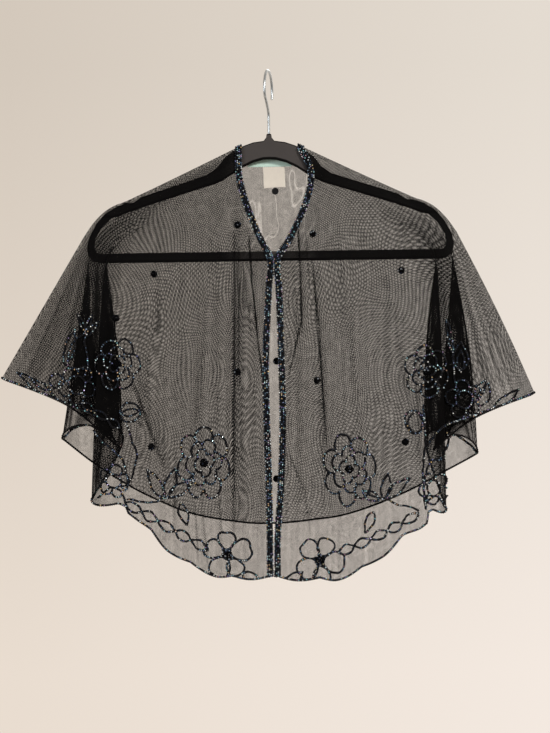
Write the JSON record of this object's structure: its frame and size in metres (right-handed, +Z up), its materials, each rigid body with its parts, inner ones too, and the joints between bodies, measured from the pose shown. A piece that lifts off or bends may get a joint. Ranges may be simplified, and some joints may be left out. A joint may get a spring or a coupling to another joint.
{
  "type": "capelet on a hanger",
  "caption": "Short sheer net capelet with an open front, V neck and beaded bands, hung on a slim flocked hanger with a wire hook.",
  "frame": {"origin": "the inner top of the hanger's hook, where the hook sits on a rail", "axes": "+X to the right of a viewer who faces the open front, along the hanger's arms; +Y from the front to the back; +Z up"},
  "size_m": [0.6462, 0.0729, 0.6175],
  "materials": {
    "black_net": "fine sheer black net",
    "dark_beads": "small iridescent dark glass beads",
    "mint_label": "woven satin ribbon, bare",
    "cream_label": "printed tape, bare",
    "black_tab": "matte",
    "grey_flock": "flocked, velvet like",
    "bright_wire": "polished wire"
  },
  "bodies": {
    "root": {"back_panel": "black_net", "front_left_panel": "black_net", "front_right_panel": "black_net", "front_left_neck_band": "dark_beads", "front_left_upper_band": "dark_beads", "front_left_lower_band": "dark_beads", "front_right_neck_band": "dark_beads", "front_right_upper_band": "dark_beads", "front_right_lower_band": "dark_beads", "back_neck_band": "dark_beads", "neck_label": "mint_label", "care_label": "cream_label", "size_tab": "black_tab", "bead_dot_1": "dark_beads", "bead_dot_2": "dark_beads", "bead_dot_3": "dark_beads", "bead_dot_4": "dark_beads", "bead_dot_5": "dark_beads", "bead_dot_6": "dark_beads", "bead_dot_7": "dark_beads", "bead_dot_8": "dark_beads", "bead_dot_9": "dark_beads", "bead_dot_10": "dark_beads", "bead_dot_11": "dark_beads", "hanger_frame": "grey_flock", "hanger_hook": "bright_wire"}
  },
  "joints": []
}
